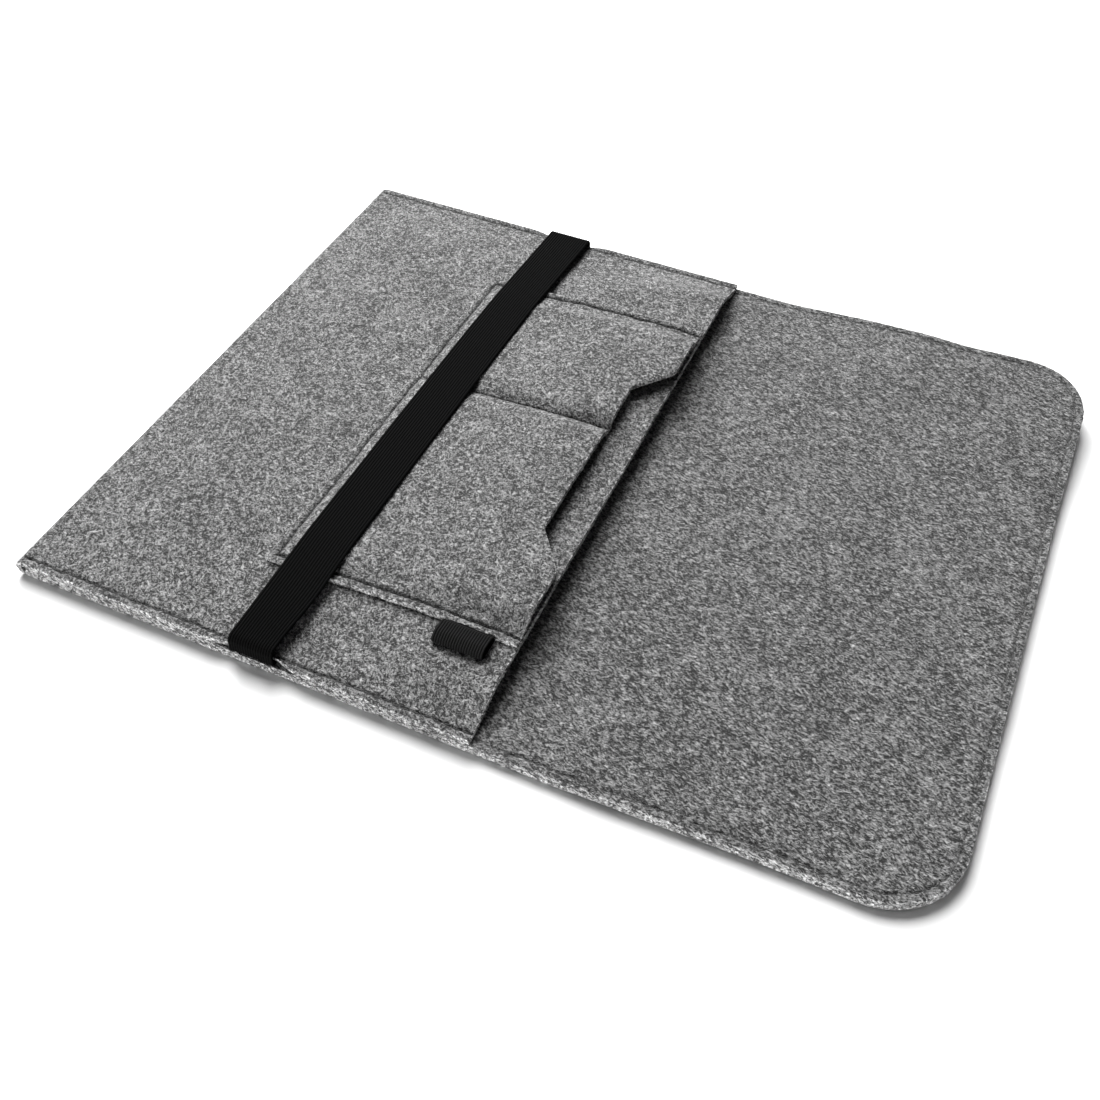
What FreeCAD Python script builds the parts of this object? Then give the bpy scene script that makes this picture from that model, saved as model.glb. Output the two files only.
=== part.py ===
import FreeCAD, Part
import math
import os

# Felt laptop sleeve, lying on its back with the flap open.  Millimetres.
# X runs across the sleeve, Y from the bottom fold to the end of the flap, Z up.
# The origin is the middle of the footprint, on the surface the sleeve lies on.

V = FreeCAD.Vector
os.makedirs("parts", exist_ok=True)

# ---- felt body ----
sleeve_width = 350.0
pouch_depth = 240.0
flap_reach = 200.0
felt = 3.0
laptop_room_height = 8.0
laptop_room_half_width = 152.6
hem_flat = 3.5
shoulder_bend = 6.0
flap_corner_radius = 36.0
spine_height = 21.4

# ---- accessory pocket ----
pocket_width = 240.0
pocket_depth = 130.5
pocket_shift = 7.0
pocket_room = 4.6
pocket_edge_flat = 8.0
pocket_edge_rise = 8.0
pocket_bend = 5.0
divider_shift = -24.0
divider_half_flat = 3.0
divider_rise = 7.0
notch_mouth_half_width = 78.0
notch_floor_half_width = 55.0
notch_depth = 17.0

# ---- elastic ----
strap_width = 25.0
strap_thickness = 1.4
strap_start = 120.5
strap_gap = 0.3
strap_bend = 4.0
strap_edge_bend = 1.15
strap_tail = 9.0
loop_width = 21.0
loop_thickness = 0.8
loop_start = 208.0
loop_reach = 12.0
loop_height = 7.5
loop_tail = 8.0

# ---- seams ----
seam_inset = 4.0
groove_width = 1.3
groove_depth = 0.5
stitch_width = 0.8
stitch_proud = 0.05
stitch_clear = 0.05
felt_stitch_pitch = 4.8
felt_stitch_length = 3.7
pocket_stitch_pitch = 3.6
pocket_stitch_length = 2.7

# ---- levels and lines that follow from the sizes above ----
half_width = sleeve_width / 2
overall_length = pouch_depth + flap_reach
fold_y = -overall_length / 2
mouth_y = fold_y + pouch_depth
tip_y = overall_length / 2
crease_y = mouth_y + spine_height
lining_top = 2 * felt
panel_under = lining_top + laptop_room_height
panel_top = panel_under + felt
hem_top = lining_top + felt
pocket_under = panel_top + pocket_room
pocket_top = pocket_under + felt
fold_turn = hem_top / 2
pouch_start = fold_y + fold_turn


def on_front(y):
    """Maps a flat drawing onto the upright X-Z plane at the given Y."""
    def place(u, w):
        return V(u, y, w)
    return place


def on_side(x):
    """Maps a flat drawing onto the upright Y-Z plane at the given X."""
    def place(u, w):
        return V(x, u, w)
    return place


def on_level(z):
    """Maps a flat drawing onto the level X-Y plane at the given Z."""
    def place(u, w):
        return V(u, w, z)
    return place


def unit(a, b):
    """Unit direction from flat point a to flat point b."""
    run = (b[0] - a[0], b[1] - a[1])
    length = math.hypot(run[0], run[1])
    return (run[0] / length, run[1] / length)


def rounded_edges(points, bend, offset, place):
    """Edges of a bent line with rounded corners, moved sideways by offset."""
    directions = [unit(a, b) for a, b in zip(points, points[1:])]
    first = directions[0]
    start = (points[0][0] - offset * first[1], points[0][1] + offset * first[0])
    edges = []
    for i in range(1, len(points) - 1):
        into = directions[i - 1]
        out = directions[i]
        turn = math.atan2(into[0] * out[1] - into[1] * out[0], into[0] * out[0] + into[1] * out[1])
        side = (-(into[1] + out[1]), into[0] + out[0])
        size = math.hypot(side[0], side[1])
        side = (side[0] / size, side[1] / size)
        reach = offset / math.cos(turn / 2)
        corner = (points[i][0] + reach * side[0], points[i][1] + reach * side[1])
        inward = math.copysign(1.0, turn)
        radius = bend - offset * inward
        cut = radius * math.tan(abs(turn) / 2)
        arc_start = (corner[0] - cut * into[0], corner[1] - cut * into[1])
        arc_end = (corner[0] + cut * out[0], corner[1] + cut * out[1])
        bulge = radius / math.cos(turn / 2) - radius
        arc_mid = (corner[0] + bulge * inward * side[0], corner[1] + bulge * inward * side[1])
        edges.append(Part.makeLine(place(*start), place(*arc_start)))
        arc = Part.Arc(place(*arc_start), place(*arc_mid), place(*arc_end))
        edges.append(arc.toShape())
        start = arc_end
    last = directions[-1]
    end = (points[-1][0] - offset * last[1], points[-1][1] + offset * last[0])
    edges.append(Part.makeLine(place(*start), place(*end)))
    return edges


def ends_of(edges):
    """First and last point of a chain of edges drawn in order."""
    return edges[0].Vertexes[0].Point, edges[-1].Vertexes[-1].Point


def strip_face(points, bend, thickness, place):
    """Face of a strip of even thickness along a bent centre line."""
    left = rounded_edges(points, bend, thickness / 2, place)
    right = rounded_edges(points, bend, -thickness / 2, place)
    left_start, left_end = ends_of(left)
    right_start, right_end = ends_of(right)
    caps = [Part.makeLine(left_start, right_start), Part.makeLine(left_end, right_end)]
    return Part.Face(Part.Wire(Part.__sortEdges__(left + right + caps)))


def filled_under(points, bend, offset, floor, place):
    """Face between a bent line and a level floor below it."""
    top = rounded_edges(points, bend, offset, place)
    low_start = place(points[0][0], floor)
    low_end = place(points[-1][0], floor)
    top_start, top_end = ends_of(top)
    closing = [
        Part.makeLine(top_start, low_start),
        Part.makeLine(low_start, low_end),
        Part.makeLine(low_end, top_end),
    ]
    return Part.Face(Part.Wire(Part.__sortEdges__(top + closing)))


def slab(x0, x1, y0, y1, z0, z1):
    """Rectangular block between two opposite corners."""
    return Part.makeBox(x1 - x0, y1 - y0, z1 - z0, V(x0, y0, z0))


def groove(path, corner, z_open, going_down):
    """Sunk channel that a row of stitches lies in."""
    depth = -groove_depth if going_down else groove_depth
    face = strip_face(path, corner, groove_width, on_level(z_open))
    return face.extrude(V(0, 0, depth))


def stitch_row(path, corner, z_surface, on_top, pitch, length):
    """Stitches laid end to end with small gaps along a rounded path."""
    wire = Part.Wire(rounded_edges(path, corner, 0.0, on_level(0.0)))
    count = int(wire.Length // pitch)
    places = wire.discretize(Number=2 * count + 1)
    if on_top:
        z_low = z_surface - groove_depth + stitch_clear
        z_high = z_surface + stitch_proud
    else:
        z_low = z_surface + stitch_clear
        z_high = z_surface + groove_depth - stitch_clear
    stitches = []
    for i in range(count):
        behind, centre, ahead = places[2 * i], places[2 * i + 1], places[2 * i + 2]
        angle = math.degrees(math.atan2(ahead.y - behind.y, ahead.x - behind.x))
        block = slab(-length / 2, length / 2, -stitch_width / 2, stitch_width / 2, z_low, z_high)
        block.rotate(V(0, 0, 0), V(0, 0, 1), angle)
        block.translate(V(centre.x, centre.y, 0))
        stitches.append(block)
    return stitches


def straight_seam(x, y0, y1):
    """Seam path along the sleeve at one X."""
    return [(x, y0), (x, y1)]


def bulge(across, along, bend, offset, floor):
    """Block under a surface that bulges both ways, moved by offset from its centre lines."""
    x_start, x_end = across[0][0], across[-1][0]
    y_start, y_end = along[0][0], along[-1][0]
    front = filled_under(across, bend, offset, floor, on_front(y_start))
    side = filled_under(along, bend, offset, floor, on_side(x_start))
    swept_along_y = front.extrude(V(0, y_end - y_start, 0))
    swept_along_x = side.extrude(V(x_end - x_start, 0, 0))
    return swept_along_y.common(swept_along_x)


def pillow_panel(across, along, bend, z_low, z_high):
    """Felt panel of even thickness whose middle stands up from its stitched edges."""
    floor = z_low - felt
    shell = bulge(across, along, bend, felt / 2, floor).cut(bulge(across, along, bend, -felt / 2, floor))
    return shell.common(slab(across[0][0], across[-1][0], along[0][0], along[-1][0], z_low, z_high))


# ---- laptop pouch: back, lining, bottom fold and front panel ----
# The front panel lies flat on the hems and steps up over the room for the laptop.
shoulder_x = laptop_room_half_width + shoulder_bend * math.tan(math.radians(22.0))
step_run = laptop_room_height * 1.05
hem_bend_x = shoulder_x + step_run
hem_mid = hem_top - felt / 2
panel_mid = panel_top - felt / 2
hem_bend_y = pouch_start + hem_flat
panel_across = [
    (-half_width, hem_mid),
    (-hem_bend_x, hem_mid),
    (-shoulder_x, panel_mid),
    (shoulder_x, panel_mid),
    (hem_bend_x, hem_mid),
    (half_width, hem_mid),
]
panel_along = [
    (pouch_start, hem_mid),
    (hem_bend_y, hem_mid),
    (hem_bend_y + step_run, panel_mid),
    (mouth_y, panel_mid),
]
front_panel = pillow_panel(panel_across, panel_along, shoulder_bend, lining_top, panel_top)
back_outer = slab(-half_width, half_width, pouch_start, mouth_y, 0, felt)
lining = slab(-half_width, half_width, pouch_start, mouth_y, felt, lining_top)

# The bottom fold turns the outer felt from the back up to the front panel.
fold_profile = []
for radius in (fold_turn, fold_turn - felt):
    low = V(-half_width, pouch_start, fold_turn - radius)
    out = V(-half_width, pouch_start - radius, fold_turn)
    high = V(-half_width, pouch_start, fold_turn + radius)
    fold_profile.append(Part.Arc(low, out, high).toShape())
for z in (0.0, hem_top - felt):
    fold_profile.append(Part.makeLine(V(-half_width, pouch_start, z), V(-half_width, pouch_start, z + felt)))
fold_face = Part.Face(Part.Wire(Part.__sortEdges__(fold_profile)))
bottom_fold = fold_face.extrude(V(sleeve_width, 0, 0))

# ---- spine and flap, outer felt with a lining on it ----
spine_outer = slab(-half_width, half_width, mouth_y, crease_y, 0, felt)
spine_lining = slab(-half_width, half_width, mouth_y, crease_y, felt, lining_top)
flap_outline = [
    (-half_width, crease_y),
    (-half_width, tip_y),
    (half_width, tip_y),
    (half_width, crease_y),
]


def flap_sheet(z_low):
    """One layer of the flap, with its far corners rounded."""
    edges = rounded_edges(flap_outline, flap_corner_radius, 0.0, on_level(z_low))
    start, end = ends_of(edges)
    edges.append(Part.makeLine(end, start))
    return Part.Face(Part.Wire(edges)).extrude(V(0, 0, felt))


flap_outer = flap_sheet(0.0)
flap_lining = flap_sheet(felt)

# ---- accessory pocket, a patch that bulges between its stitched edges ----
pocket_left = pocket_shift - pocket_width / 2
pocket_right = pocket_shift + pocket_width / 2
pocket_start = mouth_y - pocket_depth
divider_x = pocket_shift + divider_shift
patch_mid_low = panel_top + felt / 2
patch_mid_high = pocket_top - felt / 2
edge_run = pocket_edge_flat + pocket_edge_rise
divider_run = divider_half_flat + divider_rise
patch_line_across = [
    (pocket_left, patch_mid_low),
    (pocket_left + pocket_edge_flat, patch_mid_low),
    (pocket_left + edge_run, patch_mid_high),
    (divider_x - divider_run, patch_mid_high),
    (divider_x - divider_half_flat, patch_mid_low),
    (divider_x + divider_half_flat, patch_mid_low),
    (divider_x + divider_run, patch_mid_high),
    (pocket_right - edge_run, patch_mid_high),
    (pocket_right - pocket_edge_flat, patch_mid_low),
    (pocket_right, patch_mid_low),
]
patch_line_along = [
    (pocket_start, patch_mid_low),
    (pocket_start + pocket_edge_flat, patch_mid_low),
    (pocket_start + edge_run, patch_mid_high),
    (mouth_y, patch_mid_high),
]
pocket_panel = pillow_panel(patch_line_across, patch_line_along, pocket_bend, panel_top, pocket_top)
notch_past = 5.0
notch_slope = (notch_mouth_half_width - notch_floor_half_width) / notch_depth
notch_wide = notch_mouth_half_width + notch_slope * notch_past
notch_points = [
    V(pocket_shift - notch_wide, mouth_y + notch_past, panel_top),
    V(pocket_shift - notch_floor_half_width, mouth_y - notch_depth, panel_top),
    V(pocket_shift + notch_floor_half_width, mouth_y - notch_depth, panel_top),
    V(pocket_shift + notch_wide, mouth_y + notch_past, panel_top),
]
notch_face = Part.Face(Part.makePolygon(notch_points + notch_points[:1]))
pocket_panel = pocket_panel.cut(notch_face.extrude(V(0, 0, 2 * pocket_room + felt)))

# ---- elastic strap across the front, its ends sewn in at the side seams ----
strap_y = fold_y + strap_start
strap_lift_off = strap_gap + strap_thickness / 2
step_angle = math.atan2(laptop_room_height, step_run)
slope_offset = felt / 2 + strap_lift_off
slope_shift_x = slope_offset * math.sin(step_angle)
slope_shift_z = slope_offset * math.cos(step_angle)
strap_top_mid = pocket_top + strap_lift_off
strap_hem_mid = hem_top + strap_lift_off
strap_edge_mid = half_width + strap_lift_off
shoulder_drop = 0.4
strap_shoulder_mid = panel_mid + slope_shift_z + shoulder_drop
strap_shoulder_x = shoulder_x + slope_shift_x - shoulder_drop / math.tan(step_angle)
strap_foot_run = (panel_mid + slope_shift_z - strap_hem_mid) / math.tan(step_angle)
strap_foot_x = shoulder_x + slope_shift_x + strap_foot_run
strap_over_line = [
    (-half_width + strap_gap, strap_hem_mid),
    (-strap_foot_x, strap_hem_mid),
    (-strap_shoulder_x, strap_shoulder_mid),
    (pocket_left + edge_run, strap_top_mid),
    (pocket_right - edge_run, strap_top_mid),
    (strap_shoulder_x, strap_shoulder_mid),
    (strap_foot_x, strap_hem_mid),
    (half_width - strap_gap, strap_hem_mid),
]
strap_whole = strip_face(strap_over_line, strap_bend, strap_thickness, on_front(strap_y))
strap_whole = strap_whole.extrude(V(0, strap_width, 0))
side_start_x = strap_shoulder_x - 3.0
side_end_x = strap_foot_x + 2.2
part_gap = strap_gap / 2
strap_middle = strap_whole.common(
    slab(part_gap - side_start_x, side_start_x - part_gap, fold_y, mouth_y, 0, 2 * pocket_top)
)
strap_side_right = strap_whole.common(
    slab(side_start_x + part_gap, side_end_x - part_gap, fold_y, mouth_y, 0, 2 * pocket_top)
)
strap_side_left = strap_side_right.mirror(V(0, 0, 0), V(1, 0, 0))
strap_end_line = [
    (side_end_x + part_gap, strap_hem_mid),
    (strap_edge_mid, strap_hem_mid),
    (strap_edge_mid, lining_top),
    (half_width - strap_tail, lining_top),
]
strap_end_face = strip_face(strap_end_line, strap_edge_bend, strap_thickness, on_front(strap_y))
strap_end_right = strap_end_face.extrude(V(0, strap_width, 0))
strap_end_left = strap_end_right.mirror(V(0, 0, 0), V(1, 0, 0))
# The felt is pressed in above and below each sewn-in tail.
for side in (-1, 1):
    x_near = side * (half_width - strap_tail - strap_gap)
    x_past = side * (half_width + felt)
    press = slab(
        min(x_near, x_past),
        max(x_near, x_past),
        strap_y - stitch_clear,
        strap_y + strap_width + stitch_clear,
        lining_top - strap_thickness / 2 - stitch_clear,
        lining_top + strap_thickness / 2 + stitch_clear,
    )
    front_panel = front_panel.cut(press)
    lining = lining.cut(press)

# ---- pen loop, both ends sewn under the pocket's side edge ----
loop_y = fold_y + loop_start
loop_low = panel_top + loop_thickness / 2
loop_high = panel_top + loop_height - loop_thickness / 2
loop_tail_top = loop_low + loop_thickness + stitch_clear
loop_out = pocket_right + loop_reach - loop_thickness / 2
loop_neck = pocket_right + 1.2
loop_bend = 1.2
loop_line = [
    (pocket_right - loop_tail, loop_low),
    (loop_out, loop_low),
    (loop_out + 0.4, loop_high),
    (loop_neck + 2.6, loop_high),
    (loop_neck, loop_tail_top),
    (pocket_right - loop_tail, loop_tail_top),
]
pen_loop = strip_face(loop_line, loop_bend, loop_thickness, on_front(loop_y))
pen_loop = pen_loop.extrude(V(0, loop_width, 0))
loop_press = slab(
    pocket_right - loop_tail - stitch_clear,
    pocket_right + felt,
    loop_y - stitch_clear,
    loop_y + loop_width + stitch_clear,
    panel_top,
    loop_tail_top + loop_thickness / 2 + stitch_clear,
)
pocket_panel = pocket_panel.cut(loop_press)

# ---- seams: a sunk channel in the felt and separate stitches lying in it ----
seam_x = half_width - seam_inset
seam_end_gap = 1.2
row_start = pouch_start + seam_end_gap
row_end = mouth_y - seam_end_gap
strap_row_gap = 1.0
side_threads = {}
for name, x in (("left", -seam_x), ("right", seam_x)):
    whole = straight_seam(x, row_start, row_end)
    below_strap = straight_seam(x, row_start, strap_y - strap_row_gap)
    above_strap = straight_seam(x, strap_y + strap_width + strap_row_gap, row_end)
    front_panel = front_panel.cut(groove(whole, shoulder_bend, hem_top, True))
    back_outer = back_outer.cut(groove(whole, shoulder_bend, 0.0, False))
    rows = []
    for path in (below_strap, above_strap):
        rows += stitch_row(path, shoulder_bend, hem_top, True, felt_stitch_pitch, felt_stitch_length)
    rows += stitch_row(whole, shoulder_bend, 0.0, False, felt_stitch_pitch, felt_stitch_length)
    side_threads[name] = Part.makeCompound(rows)

spine_rows = []
for x in (-seam_x, seam_x):
    path = straight_seam(x, mouth_y + seam_end_gap, crease_y - seam_end_gap)
    spine_lining = spine_lining.cut(groove(path, shoulder_bend, lining_top, True))
    spine_outer = spine_outer.cut(groove(path, shoulder_bend, 0.0, False))
    spine_rows += stitch_row(path, shoulder_bend, lining_top, True, felt_stitch_pitch, felt_stitch_length)
    spine_rows += stitch_row(path, shoulder_bend, 0.0, False, felt_stitch_pitch, felt_stitch_length)
spine_thread = Part.makeCompound(spine_rows)

flap_seam_y = tip_y - seam_inset
flap_seam_radius = flap_corner_radius - seam_inset
flap_path = [
    (-seam_x, crease_y + seam_end_gap),
    (-seam_x, flap_seam_y),
    (seam_x, flap_seam_y),
    (seam_x, crease_y + seam_end_gap),
]
flap_lining = flap_lining.cut(groove(flap_path, flap_seam_radius, lining_top, True))
flap_outer = flap_outer.cut(groove(flap_path, flap_seam_radius, 0.0, False))
flap_rows = stitch_row(
    flap_path, flap_seam_radius, lining_top, True, felt_stitch_pitch, felt_stitch_length
)
flap_rows += stitch_row(
    flap_path, flap_seam_radius, 0.0, False, felt_stitch_pitch, felt_stitch_length
)
flap_thread = Part.makeCompound(flap_rows)

patch_seam_top = panel_top + felt
patch_path = [
    (pocket_left + seam_inset, mouth_y - seam_end_gap),
    (pocket_left + seam_inset, pocket_start + seam_inset),
    (pocket_right - seam_inset, pocket_start + seam_inset),
    (pocket_right - seam_inset, mouth_y - seam_end_gap),
]
divider_path = straight_seam(divider_x, pocket_start + 2 * seam_inset, mouth_y - notch_depth - seam_end_gap)
for path in (patch_path, divider_path):
    pocket_panel = pocket_panel.cut(groove(path, pocket_bend / 2, patch_seam_top, True))
pocket_thread = Part.makeCompound(
    stitch_row(patch_path, pocket_bend / 2, patch_seam_top, True, pocket_stitch_pitch, pocket_stitch_length)
)
divider_thread = Part.makeCompound(
    stitch_row(divider_path, pocket_bend / 2, patch_seam_top, True, pocket_stitch_pitch, pocket_stitch_length)
)

nodes = {
    "back_outer_felt": back_outer,
    "back_lining": lining,
    "bottom_fold": bottom_fold,
    "front_panel": front_panel,
    "pocket_panel": pocket_panel,
    "spine_outer_felt": spine_outer,
    "spine_lining": spine_lining,
    "flap_outer_felt": flap_outer,
    "flap_lining": flap_lining,
    "strap_middle": strap_middle,
    "strap_side_left": strap_side_left,
    "strap_side_right": strap_side_right,
    "strap_end_left": strap_end_left,
    "strap_end_right": strap_end_right,
    "pen_loop": pen_loop,
    "side_thread_left": side_threads["left"],
    "side_thread_right": side_threads["right"],
    "spine_thread": spine_thread,
    "flap_thread": flap_thread,
    "pocket_thread": pocket_thread,
    "divider_thread": divider_thread,
}
for node, shape in nodes.items():
    shape.exportStep("parts/" + node + ".step")
    box = shape.BoundBox
    print(node, shape.isValid(), len(shape.Solids), round(shape.Volume), box)
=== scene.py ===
import math
import bpy
import numpy as np
from mathutils import Matrix, Vector


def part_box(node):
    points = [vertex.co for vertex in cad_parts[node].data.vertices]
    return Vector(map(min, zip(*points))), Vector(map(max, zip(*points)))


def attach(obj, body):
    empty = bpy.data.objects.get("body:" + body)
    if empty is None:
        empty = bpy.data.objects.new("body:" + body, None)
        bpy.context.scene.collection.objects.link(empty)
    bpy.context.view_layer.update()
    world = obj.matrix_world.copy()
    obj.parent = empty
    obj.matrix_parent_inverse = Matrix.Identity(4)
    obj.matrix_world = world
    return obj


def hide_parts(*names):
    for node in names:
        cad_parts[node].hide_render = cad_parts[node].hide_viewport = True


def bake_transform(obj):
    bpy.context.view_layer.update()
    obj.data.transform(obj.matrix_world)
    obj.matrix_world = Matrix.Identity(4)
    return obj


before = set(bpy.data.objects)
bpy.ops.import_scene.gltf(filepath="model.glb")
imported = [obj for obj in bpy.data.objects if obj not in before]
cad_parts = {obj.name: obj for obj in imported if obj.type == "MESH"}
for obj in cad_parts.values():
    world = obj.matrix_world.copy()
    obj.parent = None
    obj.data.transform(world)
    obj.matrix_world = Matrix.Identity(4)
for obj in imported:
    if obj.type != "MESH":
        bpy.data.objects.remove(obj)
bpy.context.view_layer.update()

# Sizes are in millimetres until a mesh is made.
MM = 0.001


def node_box(name):
    """Lowest and highest corner of a CAD node, in millimetres."""
    low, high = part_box(name)
    return np.array(low) / MM, np.array(high) / MM


panel_high = node_box("front_panel")[1]
lining_high = node_box("back_lining")[1]
flap_high = node_box("flap_lining")[1]
spine_high = node_box("spine_lining")[1]
pocket_low, pocket_high = node_box("pocket_panel")
loop_low, loop_high = node_box("pen_loop")
strap_low, strap_high = node_box("strap_middle")

# Places along X and Y: half the width, the mouth, the bottom fold and the flap's crease.
# The near side is at +X, with the pen loop, and the far side is at -X.
HALF = float(panel_high[0])
MOUTH = float(panel_high[1])
FOLD = float(node_box("bottom_fold")[0][1])
CREASE = float(spine_high[1])
# The soft flap reaches a little past the plain one.
FLAP_LONGER = 3.5
TIP = float(flap_high[1]) + FLAP_LONGER
# The back and the flap are separate pieces that meet halfway up the spine.
SPLIT = (MOUTH + CREASE) / 2
FELT = 3.0
LINING_TOP = float(lining_high[2])
HEM_TOP = LINING_TOP + FELT
PANEL_TOP = float(panel_high[2])
# The flap's corner radius, and how much narrower its end is on each side.
CORNER = 36.0
TAPER = 2.2
# A seam's distance in from the edge, and how far a cut edge bulges.
SEAM = 4.0
RIM = 0.45
# Distances between the stitches round the body and round the pocket.
FELT_PITCH = 4.8
POCKET_PITCH = 3.6


def smooth(t):
    """Smooth step from 0 to 1."""
    t = np.clip(t, 0, 1)
    return t * t * (3 - 2 * t)


# Irregular waves are a sum of this many plain ones, divided to stay near 1.
WAVE_COUNT = 7
WAVE_TOTAL = 3.2


def waves(x, y, seed, size):
    """Gentle irregular waves between about -1 and 1, with a wavelength near size."""
    r = np.random.default_rng(seed)
    total = np.zeros(np.broadcast(x, y).shape)
    for _ in range(WAVE_COUNT):
        angle = r.uniform(0, math.tau)
        k = math.tau / (size * r.uniform(0.7, 1.6))
        total = total + np.sin(k * (np.cos(angle) * x + np.sin(angle) * y) + r.uniform(0, math.tau))
    return total / WAVE_TOTAL


# ---------------------------------------------------------------- materials
def new_material(name):
    """Empty node material, with its nodes and links."""
    m = bpy.data.materials.new(name)
    m.use_nodes = True
    m.node_tree.nodes.clear()
    return m, m.node_tree.nodes, m.node_tree.links


def add(nodes, kind, **sockets):
    """New node with its sockets, or else its settings, set to the given values."""
    n = nodes.new(kind)
    for k, v in sockets.items():
        if k in n.inputs:
            n.inputs[k].default_value = v
        else:
            setattr(n, k, v)
    return n


def math_node(nodes, links, op, a, b):
    """Result of an operation on two values, each a number or a socket."""
    n = nodes.new("ShaderNodeMath")
    n.operation = op
    for i, v in enumerate((a, b)):
        if isinstance(v, (int, float)):
            n.inputs[i].default_value = v
        else:
            links.new(v, n.inputs[i])
    return n.outputs[0]


def noise(
    nodes,
    links,
    coords,
    scale,
    detail=2.0,
    rough=0.5,
    distort=0.0,
    rotation=0.0,
    stretch=(1, 1, 1),
    offset=0.0,
):
    """Noise value on stretched and turned object coordinates."""
    mp = nodes.new("ShaderNodeMapping")
    mp.vector_type = "TEXTURE"
    mp.inputs["Rotation"].default_value = (rotation * 0.35, rotation * 0.2, rotation)
    mp.inputs["Scale"].default_value = stretch
    mp.inputs["Location"].default_value = (offset, offset * 0.7, offset * 1.3)
    links.new(coords, mp.inputs["Vector"])
    n = nodes.new("ShaderNodeTexNoise")
    n.inputs["Scale"].default_value = scale
    n.inputs["Detail"].default_value = detail
    n.inputs["Roughness"].default_value = rough
    n.inputs["Distortion"].default_value = distort
    links.new(mp.outputs[0], n.inputs["Vector"])
    return n.outputs["Fac"]


def ramp(nodes, links, value, low, high):
    """Straight ramp from 0 at low to 1 at high."""
    n = nodes.new("ShaderNodeMapRange")
    n.inputs["From Min"].default_value = low
    n.inputs["From Max"].default_value = high
    links.new(value, n.inputs["Value"])
    return n.outputs["Result"]


def grey_shader(nodes, links, value, rough, normal, specular):
    """Cloth shader of a grey value, joined to the material's output."""
    colour = nodes.new("ShaderNodeCombineColor")
    for socket in ("Red", "Green", "Blue"):
        links.new(value, colour.inputs[socket])
    shader = nodes.new("ShaderNodeBsdfPrincipled")
    shader.inputs["Specular IOR Level"].default_value = specular
    links.new(rough, shader.inputs["Roughness"])
    links.new(colour.outputs[0], shader.inputs["Base Color"])
    links.new(normal, shader.inputs["Normal"])
    out = nodes.new("ShaderNodeOutputMaterial")
    links.new(shader.outputs[0], out.inputs[0])
    return shader


# The felt's fibres lie in this many directions. Its cut edge is made lighter, partly for its own lighter
# fibres and partly as painted light, and its seam channels get painted shade.
FIBRE_LAYERS = 4
DARKEST_FIBRE = 0.16
RIM_PALE_AND_LIT = 1.6
SEAM_PAINTED_SHADE = 0.6


def felt_material(name, grey, grain, lean, first_turn, turn_step):
    """Grey melange felt: light and dark fibres, blotches, a lighter cut edge that is partly its own fibres
    and partly painted light, and painted shade in the seam channels. Grain draws it out.
    """
    m, nodes, links = new_material(name)
    coords = nodes.new("ShaderNodeTexCoord").outputs["Object"]

    def fibres(scale, stretch, turn, shift, low, high):
        layer = None
        for i in range(FIBRE_LAYERS):
            angle = turn + turn_step * i
            one = noise(nodes, links, coords, scale, 1.0, 0.4, 0.8, angle, stretch, shift + 0.013 * i)
            one = ramp(nodes, links, one, low, high)
            layer = one if layer is None else math_node(nodes, links, "MAXIMUM", layer, one)
        return layer

    light = fibres(1050, (2.8, 1, 1.3), first_turn + 0.3, 0.0, 0.56, 0.74)
    dark = fibres(950, (2.4, 1, 1.3), first_turn, 0.31, 0.53, 0.72)
    fleck = noise(nodes, links, coords, 900, 3.0, 0.65, rotation=lean, stretch=(1, grain, 1))
    cloud = noise(nodes, links, coords, 290, 3.0, 0.65, rotation=lean, stretch=(1, grain ** 0.4, 1))
    blotch = noise(nodes, links, coords, 60, 2.0, 0.5)
    rim = add(nodes, "ShaderNodeAttribute", attribute_name="cut_edge").outputs["Fac"]
    painted_seam_shade = add(nodes, "ShaderNodeAttribute", attribute_name="painted_seam_shade").outputs["Fac"]
    # Each layer has its middle value, and how strongly it lightens or darkens the cloth.
    total = None
    for value, middle, weight in (
        (fleck, 0.5, 3.2),
        (light, 0.30, 2.1),
        (dark, 0.36, -1.35),
        (cloud, 0.5, 3.0),
        (blotch, 0.5, 1.0),
    ):
        part = math_node(nodes, links, "SUBTRACT", value, middle)
        part = math_node(nodes, links, "MULTIPLY", part, weight)
        total = part if total is None else math_node(nodes, links, "ADD", total, part)
    total = math_node(nodes, links, "ADD", total, 1.0)
    total = math_node(nodes, links, "MAXIMUM", total, DARKEST_FIBRE)
    # Cut edges get lighter: partly the felt's own lighter fibres, partly painted light for the lit edge.
    rim_pale_and_lit = math_node(nodes, links, "ADD", math_node(nodes, links, "MULTIPLY", rim, RIM_PALE_AND_LIT), 1.0)
    total = math_node(nodes, links, "MULTIPLY", total, rim_pale_and_lit)
    # Painted shade darkens the felt in its seam channels.
    darker = math_node(nodes, links, "MULTIPLY", painted_seam_shade, SEAM_PAINTED_SHADE)
    keep = math_node(nodes, links, "SUBTRACT", 1.0, darker)
    total = math_node(nodes, links, "MULTIPLY", total, keep)
    total = math_node(nodes, links, "MULTIPLY", total, grey)
    lift = math_node(nodes, links, "SUBTRACT", light, math_node(nodes, links, "MULTIPLY", dark, 0.7))
    lift = math_node(nodes, links, "ADD", lift, fleck)
    bump = add(nodes, "ShaderNodeBump", Strength=0.8, Distance=0.0005)
    links.new(lift, bump.inputs["Height"])
    soft = add(nodes, "ShaderNodeBump", Strength=0.5, Distance=0.0014)
    links.new(cloud, soft.inputs["Height"])
    links.new(bump.outputs[0], soft.inputs["Normal"])
    rough = ramp(nodes, links, fleck, -1.2, 1.1)
    shader = grey_shader(nodes, links, total, rough, soft.outputs[0], 0.12)
    shader.inputs["Sheen Weight"].default_value = 0.10
    shader.inputs["Sheen Roughness"].default_value = 0.55
    return m


THREAD_TONE = 0.0003


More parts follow.
